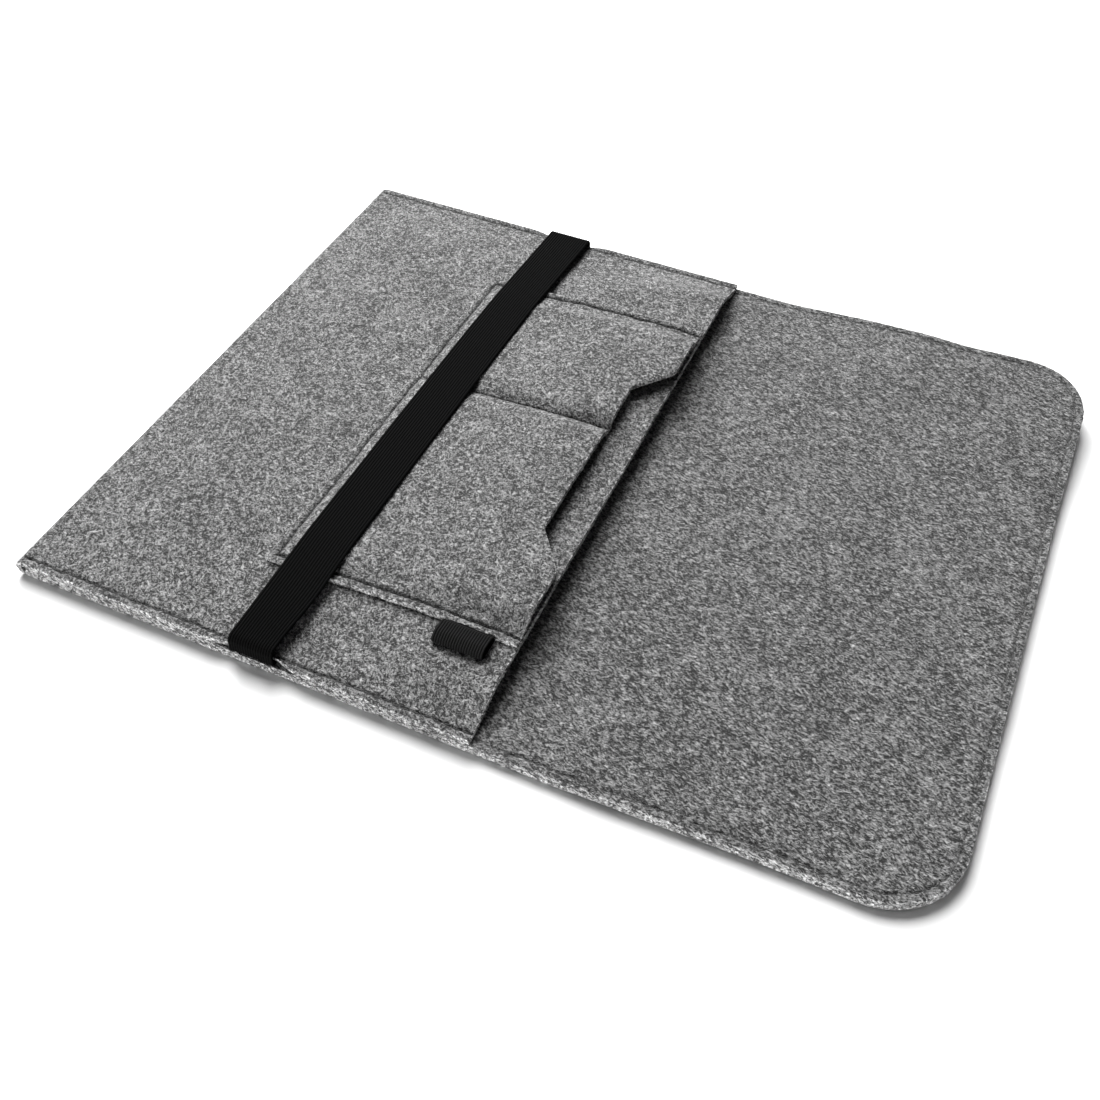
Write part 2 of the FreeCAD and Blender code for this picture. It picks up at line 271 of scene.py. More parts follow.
def elastic_material(name, along, crest_highlight, base_tone):
    """Black knitted elastic: ribs are in the mesh, with a painted highlight on their crests, and fine cross
    threads are in the bump.
    """
    m, nodes, links = new_material(name)
    coords = nodes.new("ShaderNodeTexCoord").outputs["Object"]
    wave = nodes.new("ShaderNodeTexWave")
    wave.bands_direction = along
    wave.inputs["Scale"].default_value = 330
    wave.inputs["Distortion"].default_value = 1.2
    wave.inputs["Detail"].default_value = 1.0
    wave.inputs["Detail Scale"].default_value = 2.0
    links.new(coords, wave.inputs["Vector"])
    fuzz = noise(nodes, links, coords, 2600, 2.0, 0.6)
    patchy = noise(nodes, links, coords, 140, 2.0, 0.5)
    crest = add(nodes, "ShaderNodeAttribute", attribute_name="crest").outputs["Fac"]
    # Painted highlight: the rib crests are made lighter than the grooves.
    total = math_node(nodes, links, "MULTIPLY", crest, crest_highlight)
    for value, tone in ((fuzz, base_tone), (wave.outputs["Fac"], THREAD_TONE), (patchy, THREAD_TONE)):
        total = math_node(nodes, links, "ADD", total, math_node(nodes, links, "MULTIPLY", value, tone))
    height = math_node(nodes, links, "MULTIPLY", fuzz, 0.8)
    height = math_node(nodes, links, "ADD", wave.outputs["Fac"], height)
    bump = add(nodes, "ShaderNodeBump", Strength=0.6, Distance=0.00018)
    links.new(height, bump.inputs["Height"])
    rough = ramp(nodes, links, fuzz, -1.4, 1.2)
    grey_shader(nodes, links, total, rough, bump.outputs[0], 0.012)
    return m


def thread_material(name, grey):
    """Twisted sewing thread."""
    m, nodes, links = new_material(name)
    coords = nodes.new("ShaderNodeTexCoord").outputs["Object"]
    twist = nodes.new("ShaderNodeTexWave")
    twist.bands_direction = "DIAGONAL"
    twist.inputs["Scale"].default_value = 900
    twist.inputs["Distortion"].default_value = 2.0
    links.new(coords, twist.inputs["Vector"])
    fuzz = noise(nodes, links, coords, 2200, 2.0, 0.6)
    total = math_node(nodes, links, "ADD", twist.outputs["Fac"], fuzz)
    total = math_node(nodes, links, "MULTIPLY", total, grey)
    bump = add(nodes, "ShaderNodeBump", Strength=0.5, Distance=0.0001)
    links.new(twist.outputs["Fac"], bump.inputs["Height"])
    rough = ramp(nodes, links, fuzz, -0.9, 1.3)
    grey_shader(nodes, links, total, rough, bump.outputs[0], 0.3)
    return m


felt = felt_material("melange_felt", 0.115, 1.15, 0.0, 0.1, 0.8)
# The lining felt gets a lower grey than the outer felt: painted shade that darkens the flap.
lining_cloth = felt_material("melange_felt_lining", 0.102, 1.7, -0.25, 0.8, 0.3)
# The elastics' crest tones are painted highlights on their rib crests.
strap_cloth = elastic_material("ribbed_elastic", "X", 0.0036, 0.0008)
loop_cloth = elastic_material("ribbed_elastic_loop", "X", 0.014, 0.001)
dark_thread = thread_material("dark_thread", 0.016)
felt_thread = thread_material("grey_thread", 0.045)


# ---------------------------------------------------------------- mesh makers
def make_object(name, points, faces, material, attributes=None, sharp=42):
    """Object from points in millimetres, with a value per point for each attribute."""
    mesh = bpy.data.meshes.new(name)
    mesh.from_pydata((np.asarray(points) * MM).tolist(), [], faces)
    mesh.materials.append(material)
    mesh.validate()
    mesh.shade_smooth()
    mesh.set_sharp_from_angle(angle=math.radians(sharp))
    for key, values in (attributes or {}).items():
        layer = mesh.attributes.new(key, "FLOAT", "POINT")
        layer.data.foreach_set("value", np.asarray(values, np.float32))
    obj = bpy.data.objects.new(name, mesh)
    bpy.context.scene.collection.objects.link(obj)
    return obj


def grid_quads(rows, cols, start=0):
    """Counter-clockwise quads of a rows by cols grid of points."""
    i, j = np.meshgrid(np.arange(rows - 1), np.arange(cols - 1), indexing="ij")
    a = start + i * cols + j
    return np.stack([a, a + 1, a + cols + 1, a + cols], -1).reshape(-1, 4)


# A cut edge from its top to its bottom: how far out, and how high, as shares of the rim and of
# half the sheet's thickness.
EDGE_PROFILE = [(0.62, 0.94), (0.95, 0.62), (1.08, 0.05), (0.95, -0.62), (0.62, -0.94)]


def shell(name, mid, quads, material, up, down, capped=None, rim=RIM, fuzz=0.05, extra=None, seed=1):
    """Closed sheet round a middle surface, with a soft cut edge. Sides where capped() is true end flat."""
    r = np.random.default_rng(seed)
    mid = np.asarray(mid, float)
    quads = np.asarray(quads, int)
    n = len(mid)
    up = np.broadcast_to(np.asarray(up, float), (n,))
    down = np.broadcast_to(np.asarray(down, float), (n,))
    corner = mid[quads]
    face_normal = np.cross(corner[:, 2] - corner[:, 0], corner[:, 3] - corner[:, 1])
    normal = np.zeros((n, 3))
    for k in range(4):
        np.add.at(normal, quads[:, k], face_normal)
    normal /= np.maximum(np.linalg.norm(normal, axis=1, keepdims=True), 1e-9)
    edges = np.concatenate([quads[:, [k, (k + 1) % 4]] for k in range(4)])
    keys = np.sort(edges, axis=1)
    _, first, count = np.unique(keys, axis=0, return_index=True, return_counts=True)
    border = edges[first[count == 1]]
    out = np.zeros((n, 3))
    cap = capped(mid) if capped is not None else np.zeros(n, bool)
    cut = ~(cap[border[:, 0]] & cap[border[:, 1]])
    way = mid[border[:, 1]] - mid[border[:, 0]]
    side = np.cross(way, normal[border[:, 0]] + normal[border[:, 1]])
    side /= np.maximum(np.linalg.norm(side, axis=1, keepdims=True), 1e-9)
    for k in range(2):
        np.add.at(out, border[cut, k], side[cut])
    out /= np.maximum(np.linalg.norm(out, axis=1, keepdims=True), 1e-9)
    ids = np.unique(border)
    spot = {int(v): i for i, v in enumerate(ids)}
    bumps = r.normal(0, fuzz, n)
    top = mid + normal * (up + bumps)[:, None]
    bottom = mid - normal * (down + r.normal(0, fuzz * 0.5, n))[:, None]
    points = [top, bottom]
    outward = out[ids]
    ragged = 0.16 if rim > 0.3 else 0.02
    for across, height in EDGE_PROFILE:
        share = (height + 1) / 2
        jag = r.normal(0, ragged, len(ids))
        reach = across * rim + jag * (abs(height) < 0.9)
        points.append(bottom[ids] + (top[ids] - bottom[ids]) * share + outward * reach[:, None])
    faces = quads.tolist() + (quads[:, ::-1] + n).tolist()
    m = len(ids)
    base = 2 * n
    rings = len(EDGE_PROFILE)

    def chain(v):
        return [v] + [base + k * m + spot[v] for k in range(rings)] + [n + v]

    for a, b in border:
        chain_a, chain_b = chain(int(a)), chain(int(b))
        for k in range(len(chain_a) - 1):
            faces.append([chain_a[k], chain_a[k + 1], chain_b[k + 1], chain_b[k]])
    total = 2 * n + m * rings
    # cut_edge marks the rim, which the felt material makes lighter, partly with painted light.
    cut_edge = np.zeros(total)
    cut_edge[2 * n:] = np.tile((np.linalg.norm(outward, axis=1) > 0.5).astype(float), rings)
    attributes = {"cut_edge": cut_edge}
    for key, (on_top, on_bottom) in (extra or {}).items():
        values = np.zeros(total)
        values[:n] = on_top
        values[n:2 * n] = on_bottom
        attributes[key] = values
    return make_object(name, np.concatenate(points), faces, material, attributes)


def spaced(stops, step):
    """Values from the first stop to the last, through every stop, about step apart."""
    out = [stops[0]]
    for a, b in zip(stops, stops[1:]):
        k = max(1, round(abs(b - a) / step))
        out += [a + (b - a) * i / k for i in range(1, k + 1)]
    return out


def edge_insets(far, step):
    """Distances in from a stitched edge, close together round the seam."""
    near = [RIM, 1.3, 2.3, 3.0, 3.4, 3.7, 4.0, 4.3, 4.6, 5.0, 5.8, 7.0]
    return np.array(near + spaced([7.0, far], step)[1:])


def seam_dent(distance, along, pitch, depth):
    """How far a seam pulls the felt in, given the distance from it and the place along it."""
    pull = 0.82 - 0.18 * np.cos(math.tau * along / pitch)
    narrow = np.exp(-(distance / 0.55) ** 2)
    wide = np.exp(-(distance / 1.7) ** 2)
    return depth * pull * (0.62 * narrow + 0.38 * wide)


def wander(along, seed, size=0.3):
    """Sideways wander of a hand-guided seam."""
    r = np.random.default_rng(seed)
    total = 0.0
    for length in (9.0, 14.0, 23.0, 47.0):
        total = total + np.sin(math.tau * np.asarray(along) / length + r.uniform(0, math.tau))
    return total * size / 2


# ---------------------------------------------------------------- shapes of the surfaces
strap_mid_y = (strap_low[1] + strap_high[1]) / 2
STRAP_HALF = (strap_high[1] - strap_low[1]) / 2
PANEL_RISE = PANEL_TOP - HEM_TOP


def under_strap(y, reach):
    """1 under the middle of the strap, falling to 0 away from it."""
    return np.exp(-(((y - strap_mid_y) / reach) ** 2))


# The front panel starts to rise this far from the middle, over a slope that is wider by the fold.
PANEL_EDGE = 171.5
SLOPE_BY_MOUTH = 27.0
SLOPE_WIDER = 25.0
# Its shares of the full rise near the fold and near the mouth, its waves, and the strap's pull on it.
RISE_BY_FOLD = 0.38
RISE_BY_MOUTH = 0.50
PANEL_WAVES = 0.35
STRAP_PULL = 1.4


def panel_height(x, y):
    """Top of the front panel, without seams."""
    slope = SLOPE_BY_MOUTH + SLOPE_WIDER * (1 - smooth((y - strap_mid_y - 10.0) / 75.0))
    across = smooth((PANEL_EDGE - np.abs(x)) / slope)
    along = RISE_BY_FOLD * smooth((y - FOLD - 3.0) / 55.0)
    along = along + RISE_BY_MOUTH * smooth((y - FOLD - 105.0) / 105.0)
    soft = PANEL_WAVES * waves(x, y, 3, 95) * across * smooth((y - FOLD - 5.0) / 60.0)
    pulled_down = STRAP_PULL * under_strap(y, 35.0) * smooth((-x - 40.0) / 60.0) * across
    return HEM_TOP + PANEL_RISE * across * along + soft - pulled_down


pocket_left, pocket_right = float(pocket_low[0]), float(pocket_high[0])
pocket_start = float(pocket_low[1])
pocket_mid = (pocket_left + pocket_right) / 2
# The divider seam lies this far from the pocket's middle, towards the far side.
DIVIDER_SHIFT = 24.0
divider = pocket_mid - DIVIDER_SHIFT
POCKET_ROOM = float(pocket_high[2]) - PANEL_TOP - FELT
# The pocket opens partly next to its lower seam, and partly between the strap and the mouth.
ROOM_BY_SEAM = 0.48
ROOM_BY_MOUTH = 0.52
# The divider holds the pocket down, the sewn edges pucker, and the lower and mouth edges sink a little.
DIVIDER_HOLD = 0.92
PUCKER = 0.28
PATCH_SUNK = 0.35
START_SUNK = 0.8
MOUTH_DIP = 0.9
MOUTH_DIP_LENGTH = 14.0


def pocket_height(x, y):
    """Top of the pocket patch, without seams."""
    edge = np.minimum(x - pocket_left, pocket_right - x)
    from_edge = smooth((edge - 6.5) / 12.0)
    from_start = ROOM_BY_SEAM * smooth((y - pocket_start - 3.0) / 10.0)
    from_start = from_start + ROOM_BY_MOUTH * smooth((y - strap_high[1] + 2.0) / 78.0)
    stitched = 1 - DIVIDER_HOLD * np.exp(-(np.abs(x - divider) / 5.0) ** 1.6)
    ripple = PUCKER * np.exp(-(edge / 9.0) ** 2) * (1 + waves(x * 0.2, y, 12, 17))
    ripple = ripple * (1 - under_strap(y, 24.0))
    sunk = PATCH_SUNK + START_SUNK * np.exp(-(((y - pocket_start) / 6.0) ** 2))
    dip = MOUTH_DIP * smooth((y - pocket_high[1] + MOUTH_DIP_LENGTH) / MOUTH_DIP_LENGTH)
    room = POCKET_ROOM * from_edge * from_start * stitched
    return panel_height(x, y) + FELT - sunk - dip + room + ripple


def tapered(x, y):
    """X of a place on the flap, which gets slightly narrower towards its end."""
    return x * (1 - TAPER / HALF * smooth((y - 55.0) / 110.0))


# The flap's far side curls up over its length, and more in its corner. Its end and its edges lift a little.
FAR_CURL = 5.0
CORNER_CURL = 2.6
END_LIFT = 0.2
EDGE_RIPPLE = 0.6
FLAP_WAVES = 0.25


def flap_lift(x, y):
    """How far the lower face of the flap stands off the surface that it lies on."""
    edge = np.minimum(HALF - np.abs(x), TIP - y)
    far_side = FAR_CURL * smooth((y - 40.0) / 100.0) + CORNER_CURL * smooth((y - 155.0) / 65.0)
    rise = far_side * smooth((-x - 60.0) / 112.0) + END_LIFT * smooth((y - 118.0) / 100.0)
    ripple = (0.5 + 0.5 * waves(x, y, 5, 46)) * EDGE_RIPPLE * np.exp(-np.maximum(edge, 0) / 16.0)
    free = smooth((y - CREASE - 8.0) / 30.0)
    return (rise + ripple) * free + FLAP_WAVES * (1 + waves(x, y, 8, 120)) * free


# ---------------------------------------------------------------- outer felt: front panel and fold
def side_columns(inner_step):
    """Places across the sleeve, close together round both side seams."""
    insets = edge_insets(24.0, 1.5)
    left = (-HALF + insets).tolist()
    right = (HALF - insets[::-1]).tolist()
    middle = spaced([left[-1], right[0]], inner_step)[1:-1]
    return np.array(left + middle + right)


# The strap pulls the panel's edge in, and its tails press into the felts.
EDGE_PINCH = 3.2
TAIL_GROOVE = 0.75


def strap_groove(x, y):
    """Depth of the room for the strap's tail, between the panel and the lining at each side."""
    return TAIL_GROOVE * np.exp(-((y - strap_mid_y) / 14.0) ** 6) * (np.abs(x) > HALF - 10)


# Distance between rows along Y, and the steps round the bottom fold.
ROW_STEP = 1.6
FOLD_STEPS = 12
columns = side_columns(3.0)
seam_x = HALF - SEAM
hem_y = FOLD + HEM_TOP / 2
turn_z = HEM_TOP / 2
turn_r = turn_z - FELT / 2
under_start = hem_y + 2.0
path = [(under_start, FELT / 2), (hem_y, FELT / 2)]
for i in range(1, FOLD_STEPS):
    a = math.pi * i / FOLD_STEPS
    path.append((hem_y - turn_r * math.sin(a), turn_z - turn_r * math.cos(a)))
path.append((hem_y, None))
path += [(v, None) for v in spaced([hem_y, MOUTH - RIM], ROW_STEP)[1:]]
# Rows with no height of their own are on top, and follow the panel.
rows = []
for y, z in path:
    yy = np.full(len(columns), y)
    row_x = columns
    if z is None:
        middle = panel_height(columns, yy) - FELT / 2
        near_edge = np.exp(-((HALF - np.abs(columns)) / 5.5) ** 2)
        pinch = EDGE_PINCH * np.exp(-((yy - strap_mid_y) / 17.5) ** 4) * near_edge
        row_x = columns - np.sign(columns) * pinch
    else:
        middle = np.full(len(columns), z)
    rows.append(np.stack([row_x, yy, middle], -1))
front_mid = np.array(rows)
on_top = np.array([0.0 if z is not None else 1.0 for _, z in path])[:, None]
off_seam = np.abs(front_mid[..., 0]) - seam_x - wander(front_mid[..., 1], 3)
dent = seam_dent(np.abs(off_seam), front_mid[..., 1], FELT_PITCH, 1.15) * on_top
up = FELT / 2 - 0.04 - dent
down = np.full(up.shape, FELT / 2 - 0.06)
down -= strap_groove(front_mid[..., 0], front_mid[..., 1]) * on_top
# Painted shade along the side seams, strongest where the seam dents deepest.
painted_seam_shade = np.clip(dent / 1.0, 0, 1)
front_felt = shell(
    "front_felt",
    front_mid.reshape(-1, 3),
    grid_quads(len(path), len(columns)),
    felt,
    up.ravel(),
    down.ravel(),
    capped=lambda p: (np.abs(p[:, 1] - under_start) < 0.01) & (p[:, 2] < 2.0),
    extra={"painted_seam_shade": (painted_seam_shade.ravel(), 0.0)},
    seed=11,
)
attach(front_felt, "sleeve")
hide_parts("front_panel", "bottom_fold")


# ---------------------------------------------------------------- back: outer felt and lining
def back_layer(name, z_mid, y_start, top_seam, cloth, seed):
    """One felt of the back, up to the split, with its seam on the top or on the underside."""
    ys = np.array(spaced([y_start, MOUTH, SPLIT], ROW_STEP))
    x, y = np.meshgrid(columns, ys)
    mid = np.stack([x, y, np.full(x.shape, z_mid)], -1)
    dent = seam_dent(np.abs(np.abs(x) - seam_x - wander(y, 3)), y, FELT_PITCH, 0.8)
    up = np.full(x.shape, FELT / 2 - 0.05)
    down = np.full(x.shape, FELT / 2 - 0.05)
    # Painted shade along the seam channel.
    shade = np.clip(dent / 1.3, 0, 1)
    if top_seam:
        past_mouth = y > MOUTH + 0.5
        up = up - dent * past_mouth - strap_groove(x, y)
        extra = {"painted_seam_shade": ((shade * past_mouth).ravel(), 0.0)}
    else:
        down = down - dent
        extra = {"painted_seam_shade": (0.0, shade.ravel())}
    return shell(
        name,
        mid.reshape(-1, 3),
        grid_quads(len(ys), len(columns)),
        cloth,
        up.ravel(),
        down.ravel(),
        capped=lambda p: (p[:, 1] > SPLIT - 0.01) | ((p[:, 1] < y_start + 0.01) & (not top_seam)),
        extra=extra,
        seed=seed,
    )


back_felt = back_layer("back_felt", FELT / 2, under_start, False, felt, 21)
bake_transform(back_felt)
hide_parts("back_outer_felt", "spine_outer_felt")
back_lining = back_layer("back_lining_felt", LINING_TOP - FELT / 2, hem_y + 1.5, True, lining_cloth, 22)
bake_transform(back_lining)
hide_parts("back_lining", "spine_lining")


# ---------------------------------------------------------------- flap
def flap_plan():
    """Plan points and quads of the flap: a band that follows its rounded edge, and a middle field."""
    insets = edge_insets(30.0, 2.2)
    side_y = spaced([SPLIT, TIP - CORNER], ROW_STEP)
    turns = 26
    end_x = spaced([-(HALF - CORNER), HALF - CORNER], ROW_STEP)
    angles = [math.pi / 2 * i / turns for i in range(turns + 1)]

    def ring(inset):
        radius = CORNER - inset
        centre_x, centre_y = HALF - CORNER, TIP - CORNER
        line = [(-(HALF - inset), y) for y in side_y]
        for a in angles[1:]:
            line.append((-centre_x - radius * math.cos(a), centre_y + radius * math.sin(a)))
        line += [(x, TIP - inset) for x in end_x[1:]]
        for a in angles[1:]:
            line.append((centre_x + radius * math.sin(a), centre_y + radius * math.cos(a)))
        line += [(HALF - inset, y) for y in side_y[::-1][1:]]
        return line

    band = np.array([ring(d) for d in insets])
    count = band.shape[1]
    points = band.reshape(-1, 2).tolist()
    # Rings run clockwise from the near left, and each next ring lies further in.
    quads = grid_quads(len(insets), count)[:, ::-1]
    last = (len(insets) - 1) * count
    left = [last + k for k in range(len(side_y) + turns)]
    right = [last + count - 1 - k for k in range(len(side_y) + turns)]
    end_ids = [last + len(side_y) + turns - 1 + k for k in range(len(end_x))]
    shape_x = np.array(end_x) / (HALF - CORNER)
    field = [[left[r]] + [None] * (len(end_x) - 2) + [right[r]] for r in range(len(left))]
    field[-1] = end_ids
    for r, row in enumerate(field[:-1]):
        y = band[-1][r][1]
        half = -band[-1][r][0]
        for c in range(1, len(end_x) - 1):
            row[c] = len(points)
            points.append([float(shape_x[c] * half), float(y)])
    inside = []
    for r in range(len(field) - 1):
        for c in range(len(end_x) - 1):
            inside.append([field[r][c], field[r][c + 1], field[r + 1][c + 1], field[r + 1][c]])
    return np.array(points), np.concatenate([quads, np.array(inside)])


def flap_inset(x, y):
    """Distance in from the flap's outline, and a place along the outline."""
    qx = np.abs(x) - (HALF - CORNER)
    qy = y - (TIP - CORNER)
    outside = np.hypot(np.maximum(qx, 0), np.maximum(qy, 0))
    beyond = np.maximum(qx, qy)
    inset = CORNER - np.where((qx > 0) | (qy > 0), np.maximum(outside, beyond), beyond)
    turn = np.arctan2(np.maximum(qy, 0), np.maximum(qx, 1e-6)) * (CORNER - SEAM)
    along = np.where(qx > 0, np.minimum(y, TIP - CORNER) + turn, np.abs(x))
    return inset, along


flap_xy, flap_quads = flap_plan()
inset, along = flap_inset(flap_xy[:, 0], flap_xy[:, 1])
flap_dent = seam_dent(np.abs(inset - SEAM + wander(along, 3)), along, FELT_PITCH, 0.8)
lift = flap_lift(flap_xy[:, 0], flap_xy[:, 1])
# Painted shade along the flap's seam channel.
shade = np.clip(flap_dent / 1.3, 0, 1)
for name, z_mid, is_lining, node, slot_name, seed in (
    ("flap_felt", FELT / 2, False, "flap_outer_felt", "felt_outer", 31),
    ("flap_lining_felt", LINING_TOP - FELT / 2, True, "flap_lining", "felt_lining", 32),
):
    mid = np.column_stack([tapered(flap_xy[:, 0], flap_xy[:, 1]), flap_xy[:, 1], z_mid + lift])
    up = np.full(len(mid), FELT / 2 - 0.05)
    down = np.full(len(mid), FELT / 2 - 0.05)
    if is_lining:
        up = up - flap_dent
        extra = {"painted_seam_shade": (shade, 0.0)}
    else:
        down = down - flap_dent
        extra = {"painted_seam_shade": (0.0, shade)}
    piece = shell(
        name,
        mid,
        flap_quads,
        lining_cloth if is_lining else felt,
        up,
        down,
        capped=lambda p: p[:, 1] < SPLIT + 0.01,
        extra=extra,
        seed=seed,
    )
    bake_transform(piece)
    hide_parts(node, "spine_lining" if is_lining else "spine_outer_felt")


# ---------------------------------------------------------------- accessory pocket
# Half the notch's width at the mouth and at its floor, and its depth.
NOTCH_OUT, NOTCH_IN, NOTCH_DEEP = 78.0, 55.0, 17.0
# The pocket's straight mouth edges stay this far behind the panel's mouth, clear of the closed
# flap's lining.
MOUTH_BACK = 0.6
# Above the turn row, the pocket's rows bend gradually to follow the notch.
TURN_BACK = 60.0
TURN_ROWS = 36
TURN_GATHER = 1.15


def pocket_mouth(x):
    """Y of the pocket's mouth edge, with its trapezoid notch."""
    off = np.abs(x - pocket_mid)
    return MOUTH - NOTCH_DEEP * np.clip((NOTCH_OUT - off) / (NOTCH_OUT - NOTCH_IN), 0, 1)


edge_in = edge_insets(20.0, 1.5)
fine = np.array([0, 0.35, 0.8, 1.4, 2.2, 3.2, 4.6, 6.2, 8.0])
near_divider = np.concatenate([divider - fine[::-1], divider + fine[1:]])
notch_marks = [pocket_mid - NOTCH_OUT, pocket_mid - NOTCH_IN, pocket_mid + NOTCH_IN, pocket_mid + NOTCH_OUT]
left_side = pocket_left + edge_in
right_side = pocket_right - edge_in[::-1]
across = left_side.tolist()
across += spaced([left_side[-1], notch_marks[0], notch_marks[1], near_divider[0]], 2.4)[1:]
across += near_divider[1:].tolist()
across += spaced([near_divider[-1], notch_marks[2], notch_marks[3], right_side[0]], 2.4)[1:]
across += right_side[1:].tolist()
px = np.array(across)
low_rows = pocket_start + edge_in
turn_row = MOUTH - TURN_BACK
fixed_rows = low_rows.tolist() + spaced([low_rows[-1], turn_row], ROW_STEP)[1:]
pocket_rows = []
for y in fixed_rows:
    pocket_rows.append(np.column_stack([px, np.full(len(px), y)]))
y_end = np.minimum(pocket_mouth(px), MOUTH - MOUTH_BACK) - RIM
for i in range(1, TURN_ROWS + 1):
    share = 1 - (1 - i / TURN_ROWS) ** TURN_GATHER
    pocket_rows.append(np.column_stack([px, turn_row + (y_end - turn_row) * share]))
pocket_grid = np.array(pocket_rows)
gx, gy = pocket_grid[..., 0], pocket_grid[..., 1]
from_side = np.minimum(gx - pocket_left, pocket_right - gx)
edge_dist = np.minimum(from_side, gy - pocket_start)
place = np.where(gy - pocket_start < from_side, gx, gy)
pocket_dent = seam_dent(np.abs(edge_dist - SEAM + wander(place, 5, 0.25)), place, POCKET_PITCH, 1.6)
from_floor = smooth((gy - pocket_start - SEAM + 0.5) / 1.0)
divider_dent = seam_dent(np.abs(gx - divider - wander(gy, 6, 0.2)), gy, POCKET_PITCH, 0.95) * from_floor
pocket_dent = np.maximum(pocket_dent, divider_dent)
pocket_mid_z = pocket_height(gx, gy) - FELT / 2
# The pocket's seam channels and divider get painted shade.
pocket_felt = shell(
    "pocket_felt",
    np.stack([gx, gy, pocket_mid_z], -1).reshape(-1, 3),
    grid_quads(gx.shape[0], gx.shape[1]),
    felt,
    (FELT / 2 - 0.04 - pocket_dent).ravel(),
    np.full(gx.size, FELT / 2 - 0.08),
    extra={"painted_seam_shade": (np.clip(pocket_dent / 0.9, 0, 1).ravel(), 0.0)},
    seed=41,
)
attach(pocket_felt, "sleeve")
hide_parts("pocket_panel")


# ---------------------------------------------------------------- elastic strap
RIBS = 17
STRAP_T = 1.3
# How far the strap's ribs rise, and the share of its thickness that is kept at its two edges.
RIB_RISE = 0.40
EDGE_KEPT = 0.55


def edge_thickness(w, half, width):
    """Share of the full thickness across an elastic, thinner in the outer width at each edge."""
    edge = np.clip((half - np.abs(w)) / width, 0, 1) ** 0.5
    return EDGE_KEPT + (1 - EDGE_KEPT) * edge


def rib_profile(width, count, per_rib=6):
    """Places across an elastic and the height of its ribs there."""
    n = count * per_rib
    w = np.linspace(-width / 2, width / 2, n + 1)
    wave = np.abs(np.sin(math.pi * count * (w + width / 2) / width)) ** 0.8
    return w, wave


def rounded(points, radius, step):
    """Points along a line with rounded corners."""
    out = [np.array(points[0], float)]
    for i in range(1, len(points) - 1):
        p = np.array(points[i], float)
        a = np.array(points[i - 1], float) - p
        b = np.array(points[i + 1], float) - p
        la, lb = np.linalg.norm(a), np.linalg.norm(b)
        a, b = a / la, b / lb
        half = math.acos(np.clip(a @ b, -1, 1)) / 2
        cut = min(radius / math.tan(half), la * 0.49, lb * 0.49)
        r = cut * math.tan(half)
        centre = p + (a + b) / np.linalg.norm(a + b) * (r / math.sin(half))
        start, end = p + a * cut, p + b * cut
        u, v = start - centre, end - centre
        sweep = math.acos(np.clip(u @ v / (r * r), -1, 1))
        k = max(3, int(sweep / math.radians(12)))
        for q in range(k + 1):
            t = q / k
            out.append(centre + (math.sin((1 - t) * sweep) * u + math.sin(t * sweep) * v) / math.sin(sweep))
    out.append(np.array(points[-1], float))
    line = [out[0]]
    for q in out[1:]:
        gap = np.linalg.norm(q - line[-1])
        if gap < 1e-4:
            continue
        k = max(1, int(gap / step))
        base = line[-1].copy()
        line += [base + (q - base) * s / k for s in range(1, k + 1)]
    return np.array(line)


def taut(xs, zs):
    """Upper hull of a profile: the line that a stretched strap takes over it."""
    hull = []
    for p in zip(xs, zs):
        while len(hull) > 1:
            (x1, z1), (x2, z2) = hull[-2], hull[-1]
            if (x2 - x1) * (p[1] - z1) - (z2 - z1) * (p[0] - x1) >= 0:
                hull.pop()
            else:
                break
        hull.append(p)
    hx, hz = zip(*hull)
    return np.interp(xs, hx, hz)


# The strap stands off the hems at both ends before it turns down into the seams.
FAR_SHOULDER = HEM_TOP + 2.4
NEAR_SHOULDER = HEM_TOP + 4.8
SHOULDER_X = 171.0
# The strap clears what it lies on by this much.
STRAP_CLEAR = 0.12


def strap_underside():
    """Height of the strap's lower face along X, with its tilt across the strap."""
    xs = np.linspace(-SHOULDER_X, SHOULDER_X, 685)
    ws = np.linspace(-STRAP_HALF, STRAP_HALF, 11)
    lines = []
    for w in ws:
        y = np.full(xs.shape, strap_mid_y + w)
        z = panel_height(xs, y)
        patch = pocket_height(xs, y)
        inside = (xs > pocket_left - 0.3) & (xs < pocket_right + 0.3) & (y > pocket_start)
        z = np.where(inside, np.maximum(z, patch), z)
        z[0] = FAR_SHOULDER
        z[-1] = NEAR_SHOULDER
        lines.append(taut(xs, z))
    lines = np.array(lines)
    tilt = ((ws[:, None] * (lines - lines.mean(0))).sum(0)) / (ws ** 2).sum()
    base = lines.mean(0)
    over = (lines - base - ws[:, None] * tilt).max(0)
    kernel = np.exp(-(np.linspace(-2, 2, 17) ** 2))
    kernel /= kernel.sum()

    def soften(v):
        return np.convolve(np.pad(v, 8, mode="edge"), kernel, "valid")

    return xs, soften(base + over) + STRAP_CLEAR, soften(tilt)


strap_xs, strap_base, strap_tilt = strap_underside()
strap_w, strap_ribs = rib_profile(2 * STRAP_HALF, RIBS)


# The near end gets narrower by this share, and moves this far towards the fold.
GATHER_SHARE = 0.09
GATHER_SHIFT = 1.3


def strap_y(x, w):
    """Place across the strap: its near end is gathered a little, towards the fold."""
    gather = smooth((x - 135.0) / 37.0)
    return strap_mid_y + w * (1 - GATHER_SHARE * gather) - GATHER_SHIFT * gather


